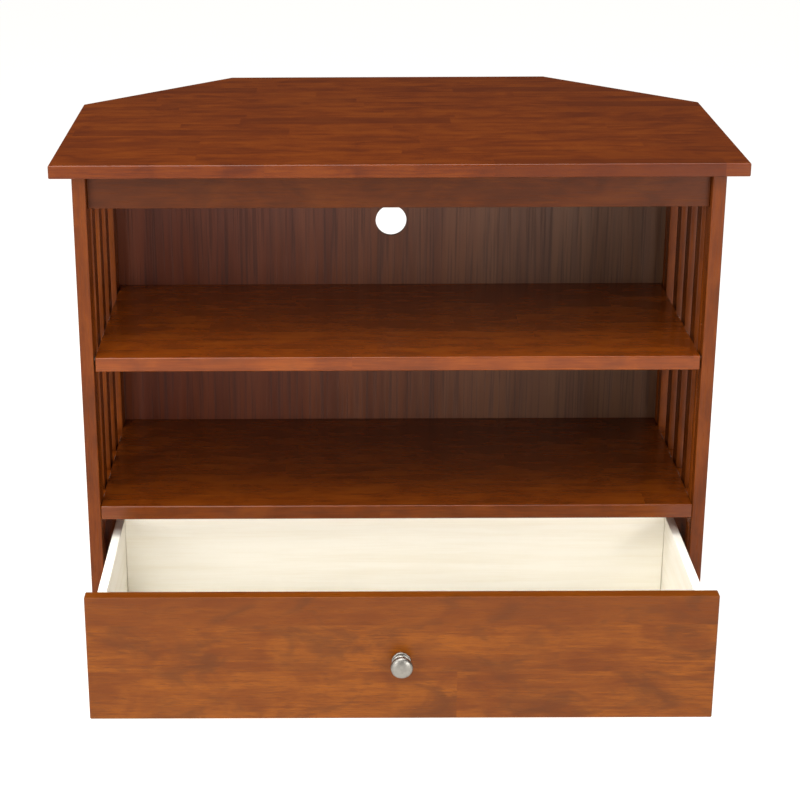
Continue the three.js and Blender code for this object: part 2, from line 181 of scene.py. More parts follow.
# %% Stained hardwood
def stained_hardwood(name, stave, block, dark, middle, light, smoke, block_contrast, patchiness,
                     reflection, roughness):
    """Stain and lacquer on boards of staves stave wide, cut into blocks block long, in metres."""
    material = bpy.data.materials.new(name)
    material.use_nodes = True
    tree = material.node_tree
    shader = tree.nodes["Principled BSDF"]
    grain = add(tree, "ShaderNodeAttribute", attribute_name="grain").outputs["Vector"]
    tone = add(tree, "ShaderNodeAttribute", attribute_name="tone").outputs["Fac"]
    inside, chance = block_of(tree, grain, stave, block)

    streaks = stretched_noise(tree, inside, (3.0, 55.0, 55.0), detail=3.0)
    fibres = stretched_noise(tree, inside, (22.0, 420.0, 420.0), detail=2.0, roughness=0.6)
    mottle = stretched_noise(tree, inside, (14.0, 22.0, 22.0), detail=3.0, distortion=0.8)
    mixed = add(tree, "ShaderNodeMath", {0: fibres, 1: 0.8, 2: mottle}, operation="MULTIPLY_ADD")
    mixed = add(tree, "ShaderNodeMath", {0: streaks, 1: 0.7, 2: mixed.outputs[0]},
                operation="MULTIPLY_ADD")
    figure = spread(tree, mixed.outputs[0], 0.85, 1.65)
    ramp = add(tree, "ShaderNodeValToRGB", {0: figure})
    ramp.color_ramp.elements[0].color = linear(dark)
    ramp.color_ramp.elements[1].color = linear(light)
    ramp.color_ramp.elements.new(0.5).color = linear(middle)

    darker = spread(tree, chance, 0.72, 1.0, 0.0, block_contrast)
    colour = blend_colour(tree, darker, ramp.outputs[0], linear(dark))
    smoky = stretched_noise(tree, inside, (11.0, 21.0, 21.0), detail=4.0, roughness=0.6, distortion=0.9)
    smoky = spread(tree, smoky, 0.48, 0.7, 0.0, patchiness)
    colour = blend_colour(tree, smoky, colour, linear(smoke))
    pores = stretched_noise(tree, inside, (60.0, 900.0, 900.0), detail=1.0)
    pores = spread(tree, pores, 0.56, 0.72, 0.0, 0.8 * patchiness)
    colour = blend_colour(tree, pores, colour, linear(smoke))
    # This darkens whole pieces; on the lower shelf and the right-hand slats the darkening is painted shade.
    shade = add(tree, "ShaderNodeCombineXYZ", {0: tone, 1: tone, 2: tone}).outputs[0]
    colour = blend_colour(tree, 1.0, colour, shade, mode="MULTIPLY")
    tree.links.new(colour, shader.inputs["Base Color"])

    tree.links.new(spread(tree, fibres, 0.2, 0.8, roughness + 0.05, roughness - 0.05),
                   shader.inputs["Roughness"])
    shader.inputs["Specular IOR Level"].default_value = reflection
    bump = add(tree, "ShaderNodeBump", {"Strength": 0.35, "Distance": 0.06 * MM, "Height": fibres})
    tree.links.new(bump.outputs[0], shader.inputs["Normal"])
    return material


top_wood = stained_hardwood("stained_edge_glued_top", 38 * MM, 300 * MM,
                            "#4f1d02", "#622802", "#6f3204", "#481f06", 0.6, 0.14, 0.265, 0.2)
panel_wood = stained_hardwood("stained_edge_glued_panel", 38 * MM, 460 * MM,
                              "#642b05", "#753406", "#85400a", "#59290d", 0.12, 0.3, 0.32, 0.2)
front_wood = stained_hardwood("stained_drawer_front_board", 67 * MM, 900 * MM,
                              "#652f06", "#753b09", "#87480d", "#562c0d", 0.6, 0.65, 0.2, 0.3)
solid_wood = stained_hardwood("stained_solid_stock", 4.0, 9.0,
                              "#572605", "#672e07", "#74380b", "#4c230a", 0.0, 0.4, 0.18, 0.3)
print("stained woods:", top_wood.name, panel_wood.name, front_wood.name, solid_wood.name)

# %% [markdown]
# ## Boards with eased edges
#
# A sanded and lacquered board never has a knife edge: the worker breaks it with a block, about 2 mm on the
# edges that a hand meets and a few tenths where two boards are glued. That thin rounded strip is what
# catches the light, so it is real geometry. The engineering solid is copied, its triangles are merged to
# whole faces, each edge gets a weight for its own radius, and a Bevel modifier rounds them in one go. A
# plain modelled box would lose the holes and grooves that the solid already has.


# %% Grain coordinates and eased copies
AXES = {"X": 0, "Y": 1, "Z": 2}


def give_grain(mesh, name, along, across, tone=1.0, cut=None):
    """Write grain coordinates and tone, partly painted shade. cut: metres along the log, and the height of
    one glue line.
    """
    through = ({"X", "Y", "Z"} - {along, across}).pop()
    draw = random.Random(name)
    offset = [draw.uniform(0.0, 40.0) for _ in range(3)]
    if cut is not None:
        offset[0], offset[1] = cut[0], -cut[1]
    order = [AXES[along], AXES[across], AXES[through]]
    grain = mesh.attributes.new("grain", "FLOAT_VECTOR", "POINT")
    for vertex, value in zip(mesh.vertices, grain.data):
        value.vector = [vertex.co[axis] + offset[i] for i, axis in enumerate(order)]
    shade = mesh.attributes.new("tone", "FLOAT", "POINT")
    shade.data.foreach_set("value", [tone] * len(mesh.vertices))


def applied(piece):
    """The piece with its modifiers turned into plain mesh."""
    evaluated = piece.evaluated_get(bpy.context.evaluated_depsgraph_get())
    mesh = bpy.data.meshes.new_from_object(evaluated)
    piece.modifiers.clear()
    old, piece.data = piece.data, mesh
    bpy.data.meshes.remove(old)
    mesh.name = piece.name
    return piece


def eased_copy(node, front, rest, shortest=12 * MM, segments=3):
    """A copy of a node with rounded edges: radius front on its front face, rest elsewhere."""
    low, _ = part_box(node)
    work = bmesh.new()
    work.from_mesh(nodes[node].data)
    bmesh.ops.remove_doubles(work, verts=work.verts, dist=0.02 * MM)
    bmesh.ops.dissolve_limit(work, angle_limit=math.radians(1), verts=work.verts, edges=work.edges)
    weight = work.edges.layers.float.new("bevel_weight_edge")
    widest = max(front, rest)
    for edge in work.edges:
        if len(edge.link_faces) != 2 or edge.calc_length() < shortest:
            continue
        if edge.calc_face_angle() < math.radians(30):
            continue
        on_front = all(vertex.co.y < low.y + 0.1 * MM for vertex in edge.verts)
        edge[weight] = (front if on_front else rest) / widest
    for face in work.faces:
        face.smooth = True
    mesh = bpy.data.meshes.new(node + "_eased")
    work.to_mesh(mesh)
    work.free()
    mesh.set_sharp_from_angle(angle=math.radians(35))
    piece = bpy.data.objects.new(node + "_eased", mesh)
    bpy.context.scene.collection.objects.link(piece)
    bevel = piece.modifiers.new("ease", "BEVEL")
    bevel.limit_method = "WEIGHT"
    bevel.width = widest
    bevel.segments = segments
    bevel.harden_normals = True
    return applied(piece)


def board(node, body, material, slot, along, across, front=0.6 * MM, rest=0.6 * MM, tone=1.0, cut=None):
    """A node's eased copy in its wood, with the grain along one axis and its staves across another."""
    piece = eased_copy(node, front, rest)
    piece.data.materials.clear()
    piece.data.materials.append(material)
    give_grain(piece.data, node, along, across, tone, cut)
    return hand_over(piece, body, slot, node)


# %% [markdown]
# ## The cabinet's boards
#
# Long boards run with the grain along their length: across the front for the top, shelves and rails, and
# upright for the stiles and the lower side panels. The lower shelf is drawn at 0.7 of the wood's colour as
# painted shade, and the rails are drawn darker too, at 0.6.

# %% Top, shelves and rails
# The lower shelf's 0.7 is painted shade; the rails' 0.6 only makes them darker.
SHELF_SHADES = {"upper_shelf": 1.0, "lower_shelf": 0.7}
RAIL_TONE = 0.6
board("top_panel", "cabinet", top_wood, "stained_wood", "X", "Y", 2.0 * MM, 2.0 * MM)
for shelf, shelf_tone in SHELF_SHADES.items():
    board(shelf, "cabinet", panel_wood, "stained_wood", "X", "Y", 2.0 * MM, 0.8 * MM, tone=shelf_tone)
for rail in ("front_apron", "front_toe_rail", "rear_top_rail", "rear_bottom_rail"):
    board(rail, "cabinet", solid_wood, "stained_wood", "X", "Z", 1.0 * MM, 0.8 * MM, tone=RAIL_TONE)

# %% Side frames
for side in ("left", "right"):
    for stile in ("front_stile", "rear_stile"):
        board(f"{side}_{stile}", "cabinet", solid_wood, "stained_wood", "Z", "Y", 1.6 * MM, 0.8 * MM)
    board(f"{side}_top_rail", "cabinet", solid_wood, "stained_wood", "Y", "Z", 0.4 * MM, 0.4 * MM)
    board(f"{side}_lower_panel", "cabinet", panel_wood, "stained_wood", "Z", "Y", 0.4 * MM, 0.4 * MM)
print("side frames made")

# %% [markdown]
# ## The drawer's front
#
# The front is two wide staves and a narrow darker one along its top edge. It is one board with a glue line
# 40 mm below the top, and it is cut from the length of the log where the staves fall that way.

# %% Drawer front
DARK_STAVE = 40 * MM
LOG_START = 20.15  # metres along the log
front_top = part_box("drawer_front")[1].z
front = board("drawer_front", "drawer", front_wood, "stained_wood", "X", "Z", 2.0 * MM, 1.6 * MM,
              cut=(LOG_START, front_top - DARK_STAVE))
print("drawer front", [round(v, 4) for v in front.dimensions])

# %% [markdown]
# ## Open-pored oak veneer
#
# The back is a thin veneered panel. Oak is ring-porous: each year's early growth leaves a row of long open
# pores, and stain collects in them, so the panel reads as fine dark upright lines on a duller ground. The
# pores are real hollows, which the bump gives a soft shadow. They are drawn as lines about 4 mm apart,
# several times too coarse, so that they can be seen from across a room. A painted sheen also runs across
# the sheet, from redder on the left to greyer on the right.


# %% Oak veneer
def oak_veneer(name, half_width):
    """Stained oak veneer with a painted sheen that greys it from left to right across a sheet twice
    half_width wide.
    """
    material = bpy.data.materials.new(name)
    material.use_nodes = True
    tree = material.node_tree
    shader = tree.nodes["Principled BSDF"]
    grain = add(tree, "ShaderNodeAttribute", attribute_name="grain").outputs["Vector"]
    years = stretched_noise(tree, grain, (0.9, 26.0, 26.0), detail=3.0, distortion=0.3)
    pores = stretched_noise(tree, grain, (5.0, 260.0, 260.0), detail=1.0, roughness=0.5)
    flecks = stretched_noise(tree, grain, (7.0, 120.0, 120.0), detail=3.0)
    ground = add(tree, "ShaderNodeValToRGB", {0: spread(tree, years, 0.3, 0.7)})
    ground.color_ramp.elements[0].color = linear("#5f3822")
    ground.color_ramp.elements[1].color = linear("#6e462d")
    colour = blend_colour(tree, spread(tree, flecks, 0.4, 0.7, 0.0, 0.35), ground.outputs[0],
                          linear("#3a2219"))
    place = add(tree, "ShaderNodeSeparateXYZ", {0: add(tree, "ShaderNodeTexCoord").outputs["Object"]})
    # Painted sheen: the colour is multiplied from redder on the left to greyer on the right.
    sheen_factor = spread(tree, place.outputs[0], -half_width, half_width)
    painted_sheen = blend_colour(tree, sheen_factor, linear("#ffbf90"), linear("#f4ffff"))
    colour = blend_colour(tree, 1.0, colour, painted_sheen, mode="MULTIPLY")
    hollow = spread(tree, pores, 0.52, 0.64)
    pore_tint = add(tree, "ShaderNodeMath", {0: hollow, 1: 0.36}, operation="MULTIPLY").outputs[0]
    colour = blend_colour(tree, pore_tint, colour, linear("#2a1914"))
    tree.links.new(colour, shader.inputs["Base Color"])
    tree.links.new(spread(tree, pores, 0.4, 0.65, 0.42, 0.62), shader.inputs["Roughness"])
    shader.inputs["Specular IOR Level"].default_value = 0.4
    depth = add(tree, "ShaderNodeMath", {0: 1.0, 1: hollow}, operation="SUBTRACT").outputs[0]
    bump = add(tree, "ShaderNodeBump", {"Strength": 0.6, "Distance": 0.25 * MM, "Height": depth})
    tree.links.new(bump.outputs[0], shader.inputs["Normal"])
    return material


back_veneer = oak_veneer("stained_oak_veneer", 0.36)
back = board("back_panel", "cabinet", back_veneer, "oak_veneer_back", "Z", "X", 0.4 * MM, 0.4 * MM)
print("back panel", len(back.data.polygons), "faces")

# %% [markdown]
# ## Pale drawer boards
#
# The drawer box is left its natural colour under a clear coat: a close, cream-white wood with hardly any
# figure, and thin ply of the same colour for its bottom. Its top edges are sanded round, because hands
# reach past them.


# %% Drawer box
def pale_board(name, ground, vein):
    """Clear-coated pale wood of a ground colour, with veins a shade darker along the grain."""
    material = bpy.data.materials.new(name)
    material.use_nodes = True
    tree = material.node_tree
    shader = tree.nodes["Principled BSDF"]
    grain = add(tree, "ShaderNodeAttribute", attribute_name="grain").outputs["Vector"]
    veins = stretched_noise(tree, grain, (2.5, 60.0, 60.0), detail=4.0, distortion=0.4)
    fibres = stretched_noise(tree, grain, (18.0, 600.0, 600.0), detail=2.0)
    factor = add(tree, "ShaderNodeMath", {0: fibres, 1: 0.4, 2: veins}, operation="MULTIPLY_ADD")
    colour = blend_colour(tree, spread(tree, factor.outputs[0], 0.55, 0.95), linear(ground), linear(vein))
    tree.links.new(colour, shader.inputs["Base Color"])
    tree.links.new(spread(tree, fibres, 0.3, 0.7, 0.42, 0.54), shader.inputs["Roughness"])
    shader.inputs["Specular IOR Level"].default_value = 0.35
    bump = add(tree, "ShaderNodeBump", {"Strength": 0.25, "Distance": 0.05 * MM, "Height": fibres})
    tree.links.new(bump.outputs[0], shader.inputs["Normal"])
    return material


box_board = pale_board("clear_coated_pale_board", "#fcf8ec", "#f6f0e0")
bottom_board = pale_board("clear_coated_pale_ply", "#fcfaf3", "#f8f4ea")
for name, along in (("drawer_box_front", "X"), ("drawer_box_back", "X"),
                    ("drawer_box_left_side", "Y"), ("drawer_box_right_side", "Y")):
    board(name, "drawer", box_board, "drawer_board", along, "Z", 1.2 * MM, 1.2 * MM)
board("drawer_bottom", "drawer", bottom_board, "drawer_board", "X", "Y", 0.3 * MM, 0.3 * MM)
print("drawer box made")

# %% [markdown]
# ## A tree that grows repeats
#
# Slats, screws and bearing balls are all one shape said many times. Geometry Nodes say it once, with the
# sizes as named inputs, and place it on points. The three helpers below begin a tree with its inputs, end
# it with real geometry in its material, and run it on a mesh and keep what it makes as plain mesh.

# %% Geometry node helpers
SOCKETS = {float: "NodeSocketFloat", int: "NodeSocketInt", str: "NodeSocketMaterial"}


def new_tree(name, **sizes):
    """An empty geometry tree with a named input for each size, an int, a float or "" for a material."""
    tree = bpy.data.node_groups.new(name, "GeometryNodeTree")
    tree.interface.new_socket("Geometry", in_out="INPUT", socket_type="NodeSocketGeometry")
    for label, value in sizes.items():
        socket = tree.interface.new_socket(label, in_out="INPUT", socket_type=SOCKETS[type(value)])
        if value != "":
            socket.default_value = value
    tree.interface.new_socket("Geometry", in_out="OUTPUT", socket_type="NodeSocketGeometry")
    given = add(tree, "NodeGroupInput").outputs
    return tree, given


def close_tree(tree, given, shape):
    """End the tree: real geometry, not instances, with its material."""
    real = add(tree, "GeometryNodeRealizeInstances", {0: shape}).outputs[0]
    painted = add(tree, "GeometryNodeSetMaterial", {0: real, 2: given["material"]}).outputs[0]
    result = add(tree, "NodeGroupOutput")
    tree.links.new(painted, result.inputs[0])


def grown(name, mesh, tree, **values):
    """Run the tree on a mesh and keep what it makes as a plain piece, smooth with crisp corners."""
    piece = bpy.data.objects.new(name, mesh)
    bpy.context.scene.collection.objects.link(piece)
    modifier = piece.modifiers.new("grow", "NODES")
    modifier.node_group = tree
    labels = {item.name: item.identifier for item in tree.interface.items_tree if item.in_out == "INPUT"}
    for label, value in values.items():
        modifier[labels[label]] = value
    applied(piece)
    piece.data.shade_smooth()
    piece.data.set_sharp_from_angle(angle=math.radians(40))
    return piece


# %% [markdown]
# ## Side slats
#
# Three upright slats fill the upper part of each side, 12 mm thick and set in the middle of the stiles'
# thickness. A slat is a rounded rectangle swept up a straight line, and the tree sets copies of it a
# fixed pitch apart. Each copy keeps a random number, so that its grain differs from its neighbour's. The
# right-hand row is drawn darker, as painted shade.


# %% Slat tree
def slat_tree():
    """A row of slats from front to back, each with its own run of grain."""
    tree, given = new_tree("row_of_slats", count=3, pitch=0.1, first=0.0, centre=0.0, foot=0.0, head=1.0,
                           width=0.03, thickness=0.012, easing=0.001, seed=1, tone=1.0, material="")
    foot = add(tree, "ShaderNodeCombineXYZ", {2: given["foot"]})
    head = add(tree, "ShaderNodeCombineXYZ", {2: given["head"]})
    upright = add(tree, "GeometryNodeCurvePrimitiveLine", {0: foot.outputs[0], 1: head.outputs[0]})
    section = add(tree, "GeometryNodeCurvePrimitiveQuadrilateral",
                  {"Width": given["thickness"], "Height": given["width"]})
    eased = add(tree, "GeometryNodeFilletCurve",
                {"Curve": section.outputs[0], "Radius": given["easing"], "Count": 3}, mode="POLY")
    slat = add(tree, "GeometryNodeCurveToMesh", {0: upright.outputs[0], 1: eased.outputs[0],
                                                 "Fill Caps": True})
    start = add(tree, "ShaderNodeCombineXYZ", {0: given["centre"], 1: given["first"]})
    step = add(tree, "ShaderNodeCombineXYZ", {1: given["pitch"]})
    row = add(tree, "GeometryNodeMeshLine", {"Count": given["count"], "Start Location": start.outputs[0],
                                             "Offset": step.outputs[0]})
    copies = add(tree, "GeometryNodeInstanceOnPoints", {0: row.outputs[0], 2: slat.outputs[0]})
    shift = add(tree, "FunctionNodeRandomValue", {0: (0.0,) * 3, 1: (40.0,) * 3, "Seed": given["seed"]},
                data_type="FLOAT_VECTOR")
    marked = add(tree, "GeometryNodeStoreNamedAttribute",
                 {0: copies.outputs[0], "Name": "shift", "Value": shift.outputs[0]},
                 data_type="FLOAT_VECTOR", domain="INSTANCE")
    real = add(tree, "GeometryNodeRealizeInstances", {0: marked.outputs[0]})
    place = add(tree, "ShaderNodeSeparateXYZ", {0: add(tree, "GeometryNodeInputPosition").outputs[0]})
    turned = add(tree, "ShaderNodeCombineXYZ",
                 {0: place.outputs[2], 1: place.outputs[1], 2: place.outputs[0]})
    held = add(tree, "GeometryNodeInputNamedAttribute", {0: "shift"}, data_type="FLOAT_VECTOR")
    grain = add(tree, "ShaderNodeVectorMath", {0: turned.outputs[0], 1: held.outputs[0]}, operation="ADD")
    grained = add(tree, "GeometryNodeStoreNamedAttribute",
                  {0: real.outputs[0], "Name": "grain", "Value": grain.outputs[0]},
                  data_type="FLOAT_VECTOR", domain="POINT")
    toned = add(tree, "GeometryNodeStoreNamedAttribute",
                {0: grained.outputs[0], "Name": "tone", "Value": given["tone"]},
                data_type="FLOAT", domain="POINT")
    close_tree(tree, given, toned.outputs[0])
    return tree


slats = slat_tree()
# The right-hand row's 0.8 is painted shade: that side of the inside is drawn darker.
SLAT_ROWS = {"left": (1, 1.0), "right": (2, 0.8)}  # seed and tone of each row
for side, (seed, slat_tone) in SLAT_ROWS.items():
    names = [f"{side}_slat_{i}" for i in (1, 2, 3)]
    low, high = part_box(names[0])
    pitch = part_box(names[1])[0].y - low.y
    row = grown(f"{side}_slats", bpy.data.meshes.new("slats"), slats, count=3, pitch=pitch,
                first=(low.y + high.y) / 2, centre=(low.x + high.x) / 2, foot=low.z, head=high.z,
                width=high.y - low.y, thickness=high.x - low.x, easing=1.2 * MM,
                seed=seed, tone=slat_tone, material=solid_wood)
    hand_over(row, "cabinet", "stained_wood", *names)
    print(row.name, [round(v, 4) for v in row.dimensions], "from", round(low.y, 4))

# %% [markdown]
# ## Metals and nylon
#
# Three metals are at work. The slides, angles, pins and screws are cold-rolled steel with bright zinc
# plate, which is bluish and a little cloudy. The strips that hold the balls are bare steel. The knob is cast
# zinc alloy under satin nickel: warm grey, brushed fine, so that its reflections are soft. A metal has no
# colour under its reflection, so all of its look is tint and roughness, and both drift slightly.


# %% Metal and plastic finishes
def metal(name, tint, cloud, smooth, rough, cells_per_metre):
    """A metal whose tint and roughness drift between two values in soft clouds."""
    material = bpy.data.materials.new(name)
    material.use_nodes = True
    tree = material.node_tree
    shader = tree.nodes["Principled BSDF"]
    place = add(tree, "ShaderNodeTexCoord").outputs["Object"]
    clouds = stretched_noise(tree, place, (cells_per_metre,) * 3, detail=4.0)
    scratch = stretched_noise(tree, place, (40.0, 40.0, 900.0), detail=2.0)
    colour = blend_colour(tree, spread(tree, clouds, 0.35, 0.65), linear(tint), linear(cloud))
    tree.links.new(colour, shader.inputs["Base Color"])
    tree.links.new(spread(tree, clouds, 0.3, 0.7, smooth, rough), shader.inputs["Roughness"])
    bump = add(tree, "ShaderNodeBump", {"Strength": 0.15, "Distance": 0.02 * MM, "Height": scratch})
    tree.links.new(bump.outputs[0], shader.inputs["Normal"])
    shader.inputs["Metallic"].default_value = 1.0
    return material


zinc = metal("bright_zinc_plate", "#c3c7ca", "#b9bec2", 0.28, 0.36, 160.0)
strip_steel = metal("bare_steel_strip", "#9b9c9c", "#86888a", 0.3, 0.45, 200.0)
nickel = metal("satin_nickel_plate", "#96928a", "#89857e", 0.34, 0.42, 120.0)


def moulded_nylon():
    """Dark nylon with the fine grain of its mould."""
    material = bpy.data.materials.new("moulded_nylon")
    material.use_nodes = True
    tree = material.node_tree
    shader = tree.nodes["Principled BSDF"]
    place = add(tree, "ShaderNodeTexCoord").outputs["Object"]
    skin = stretched_noise(tree, place, (1400.0,) * 3, detail=2.0)
    colour = blend_colour(tree, skin, linear("#2b2724"), linear("#383330"))
    tree.links.new(colour, shader.inputs["Base Color"])
    tree.links.new(spread(tree, skin, 0.3, 0.7, 0.5, 0.62), shader.inputs["Roughness"])
    bump = add(tree, "ShaderNodeBump", {"Strength": 0.3, "Distance": 0.05 * MM, "Height": skin})
    tree.links.new(bump.outputs[0], shader.inputs["Normal"])
    return material


nylon = moulded_nylon()
print("metals:", zinc.name, strip_steel.name, nickel.name, "and", nylon.name)


def painted_copy(node, body, material, slot, easing, shortest):
    """An eased copy of a metal or plastic node in its finish."""
    piece = eased_copy(node, easing, easing, shortest, segments=2)
    piece.data.materials.clear()
    piece.data.materials.append(material)
    hand_over(piece, body, slot, node)


# %% [markdown]
# ## Knob
#
# The knob is a mushroom: a round foot, a waist and a domed head, cast in one and plated. It is turned from
# half its outline, which a lathe, or here a ring of points for each step of the profile, makes round.


# %% Turned shapes
def turned(name, profile, centre, sides):
    """A profile of (radius, height) in metres turned about Y at centre, rising towards the front."""
    work = bmesh.new()
    rings = []
    for radius, height in profile:
        y = centre.y - height
        if radius < 1e-7:
            rings.append([work.verts.new((centre.x, y, centre.z))])
            continue
        turn = [2 * math.pi * i / sides for i in range(sides)]
        rings.append([work.verts.new((centre.x + radius * math.cos(a), y, centre.z + radius * math.sin(a)))
                      for a in turn])
    for lower, upper in zip(rings, rings[1:]):
        for i in range(sides):
            j = (i + 1) % sides
            corners = [lower[i % len(lower)], lower[j % len(lower)], upper[j % len(upper)],
                       upper[i % len(upper)]]
            corners = list(dict.fromkeys(corners))
            if len(corners) > 2:
                work.faces.new(corners)
    bmesh.ops.recalc_face_normals(work, faces=work.faces)
    mesh = bpy.data.meshes.new(name)
    work.to_mesh(mesh)
    work.free()
    mesh.shade_smooth()
    mesh.set_sharp_from_angle(angle=math.radians(40))
    piece = bpy.data.objects.new(name, mesh)
    bpy.context.scene.collection.objects.link(piece)
    return piece


def arc(centre, radius, start, end, steps):
    """Points on an arc in the profile plane, of two radii, from one angle to another in degrees."""
    angles = [math.radians(start + (end - start) * i / steps) for i in range(steps + 1)]
    return [(centre[0] + radius[0] * math.cos(a), centre[1] + radius[1] * math.sin(a)) for a in angles]


knob_low, knob_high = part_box("drawer_knob")
head = (knob_high.x - knob_low.x) / 2
rise = knob_high.y - knob_low.y
foot_radius = 12.5 * MM
foot_round = 1.2 * MM
foot_flat = foot_radius - foot_round
waist = 7.5 * MM
waist_height = 5.4 * MM
waist_curve = 3.0 * MM
rim_height = 0.78 * rise
neck_height = 0.42 * rise
bore = 2.3 * MM
bore_depth = 12.3 * MM
outline = [(0.0, bore_depth), (bore, bore_depth), (bore, 0.0), (foot_radius - 0.4 * MM, 0.0)]
outline += arc((foot_flat, foot_round), (foot_round, foot_round), -60, 90, 6)
outline += arc((foot_flat, waist_height), (foot_flat - waist, waist_curve), 270, 180, 6)
outline += arc((waist, rim_height), (head - waist, rim_height - neck_height), -90, 0, 10)[1:]
outline += arc((0.0, rim_height), (head, rise - rim_height), 8, 90, 16)
knob_centre = Vector(((knob_low.x + knob_high.x) / 2, knob_high.y, (knob_low.z + knob_high.z) / 2))
knob = turned("knob", outline, knob_centre, 64)
knob.data.materials.append(nickel)
hand_over(knob, "drawer", "satin_nickel", "drawer_knob")
print("knob", [round(v, 4) for v in knob.dimensions])

# %% [markdown]
# ## Ball-bearing slides
#
# Each slide has three channels, one inside the other, rolled from 1.2 mm strip, so every bend is round on
# both sides and the steel keeps its thickness. The section is worked out from the web, the lips and the
# bend, and run along the slide. The webs are pierced with a row of holes for the mounting screws, and a
# geometry tree cuts that row, because it is one tool repeated at a fixed pitch.


# %% Channel sections and the piercing tree
def channel_section(web, lip, low, high, steel, bend, steps=4):
    """Closed outline, as (x, z), of a strip channel with round bends. web and lip are x values."""
    towards = 1 if lip > web else -1

    def path(inset):
        """One side of the strip: the outer at inset 0, the inner at the strip's thickness."""
        radius = bend - inset
        quarter = [math.pi / 2 * i / steps for i in range(steps + 1)]
        lower = [(web + towards * (bend - radius * math.sin(a)), low + bend - radius * math.cos(a))
                 for a in quarter]
        upper = [(x, low + high - z) for x, z in reversed(lower)]
        return [(lip, low + inset), *lower, *upper, (lip, high - inset)]

    return path(0.0) + path(steel)[::-1]


def swept(name, section, y0, y1):
    """A mesh of a section of (x, z) points run along Y."""
    work = bmesh.new()
    ends = [[work.verts.new((x, y, z)) for x, z in section] for y in (y0, y1)]
    for i in range(len(section)):
        j = (i + 1) % len(section)
        work.faces.new((ends[0][i], ends[0][j], ends[1][j], ends[1][i]))
    for end in ends:
        work.faces.new(end)
    bmesh.ops.recalc_face_normals(work, faces=work.faces)
    bmesh.ops.triangulate(work, faces=[face for face in work.faces if len(face.verts) > 4])
    mesh = bpy.data.meshes.new(name)
    work.to_mesh(mesh)
    work.free()
    return mesh


def pierced_tree():
    """A channel with a row of round holes cut through its web."""
    tree, given = new_tree("pierced_channel", count=5, pitch=0.05, first=0.0, centre=0.0, level=0.0,
                           hole=0.006, through=0.01, material="")
    tool = add(tree, "GeometryNodeMeshCylinder",
               {"Vertices": 24, "Radius": given["hole"], "Depth": given["through"]})
    laid = add(tree, "GeometryNodeTransform",
               {0: tool.outputs[0], "Rotation": (0.0, math.pi / 2, 0.0)})
    start = add(tree, "ShaderNodeCombineXYZ", {0: given["centre"], 1: given["first"], 2: given["level"]})
    step = add(tree, "ShaderNodeCombineXYZ", {1: given["pitch"]})
    row = add(tree, "GeometryNodeMeshLine", {"Count": given["count"], "Start Location": start.outputs[0],
                                             "Offset": step.outputs[0]})
    copies = add(tree, "GeometryNodeInstanceOnPoints", {0: row.outputs[0], 2: laid.outputs[0]})
    tools = add(tree, "GeometryNodeRealizeInstances", {0: copies.outputs[0]})
    cut = add(tree, "GeometryNodeMeshBoolean", {"Mesh 1": given["Geometry"], "Mesh 2": tools.outputs[0]},
              operation="DIFFERENCE", solver="EXACT")
    close_tree(tree, given, cut.outputs[0])
    return tree


# %% Slide channels
STEEL, BEND, HOLES, HOLE_RADIUS = 1.2 * MM, 2.2 * MM, 6, 2.6 * MM
SCREWED_HOLES = (0, 2, 5)  # of the six holes in a drawer member, those that take a screw
pierced = pierced_tree()
SIDES = (("left", -1), ("right", 1))


def near(node, sign, what):
    """The x of a slide part's face nearer the frame or the drawer, on the side that sign says."""
    low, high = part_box(node)
    outwards = (what == "frame") == (sign > 0)
    return high.x if outwards else low.x


def hole_row(node):
    """Where the first mounting hole of a slide member is along Y, and the pitch of the row."""
    low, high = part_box(node)
    pitch = (high.y - low.y) / HOLES
    return low.y + pitch / 2, pitch


for side, sign in SIDES:
    for part, body, web_by, lip_by in (("fixed_member", "cabinet", "frame", "drawer"),
                                       ("middle_member", f"{side}_slide_middle", "frame", "drawer"),
                                       ("drawer_member", "drawer", "drawer", "frame")):
        node = f"{side}_slide_{part}"
        low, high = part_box(node)
        section = channel_section(near(node, sign, web_by), near(node, sign, lip_by), low.z, high.z,
                                  STEEL, BEND)
        first, pitch = hole_row(node)
        piece = grown(node + "_channel", swept(node, section, low.y, high.y), pierced, count=HOLES,
                      pitch=pitch, first=first, centre=near(node, sign, web_by),
                      level=(low.z + high.z) / 2, hole=HOLE_RADIUS, through=4 * STEEL, material=zinc)
        hand_over(piece, body, "zinc_steel", node)
print("slide channel", [round(v, 4) for v in piece.dimensions], len(piece.data.polygons), "faces")

# %% [markdown]
# ## Balls in their cages
#
# Between the channels run two cages a side: a strip of 0.5 mm steel that keeps a row of hardened balls
# above and one below, rolling in the channels' corners. A ball is one small sphere, and a tree sets two
# rows of them at the strip's pitch.


# %% Ball cages
def ball_tree():
    """Two rows of balls, one above the other, at one pitch."""
    tree, given = new_tree("rows_of_balls", count=8, pitch=0.015, first=0.0, centre=0.0, low=0.0, high=0.0,
                           ball=0.00175, material="")
    ball = add(tree, "GeometryNodeMeshUVSphere", {"Segments": 16, "Rings": 10, "Radius": given["ball"]})
    rows = add(tree, "GeometryNodeJoinGeometry")
    step = add(tree, "ShaderNodeCombineXYZ", {1: given["pitch"]})
    for level in ("low", "high"):
        start = add(tree, "ShaderNodeCombineXYZ", {0: given["centre"], 1: given["first"], 2: given[level]})
        row = add(tree, "GeometryNodeMeshLine", {"Count": given["count"], "Offset": step.outputs[0],
                                                 "Start Location": start.outputs[0]})
        tree.links.new(row.outputs[0], rows.inputs[0])
    balls = add(tree, "GeometryNodeInstanceOnPoints", {0: rows.outputs[0], 2: ball.outputs[0]})
    close_tree(tree, given, balls.outputs[0])
    return tree


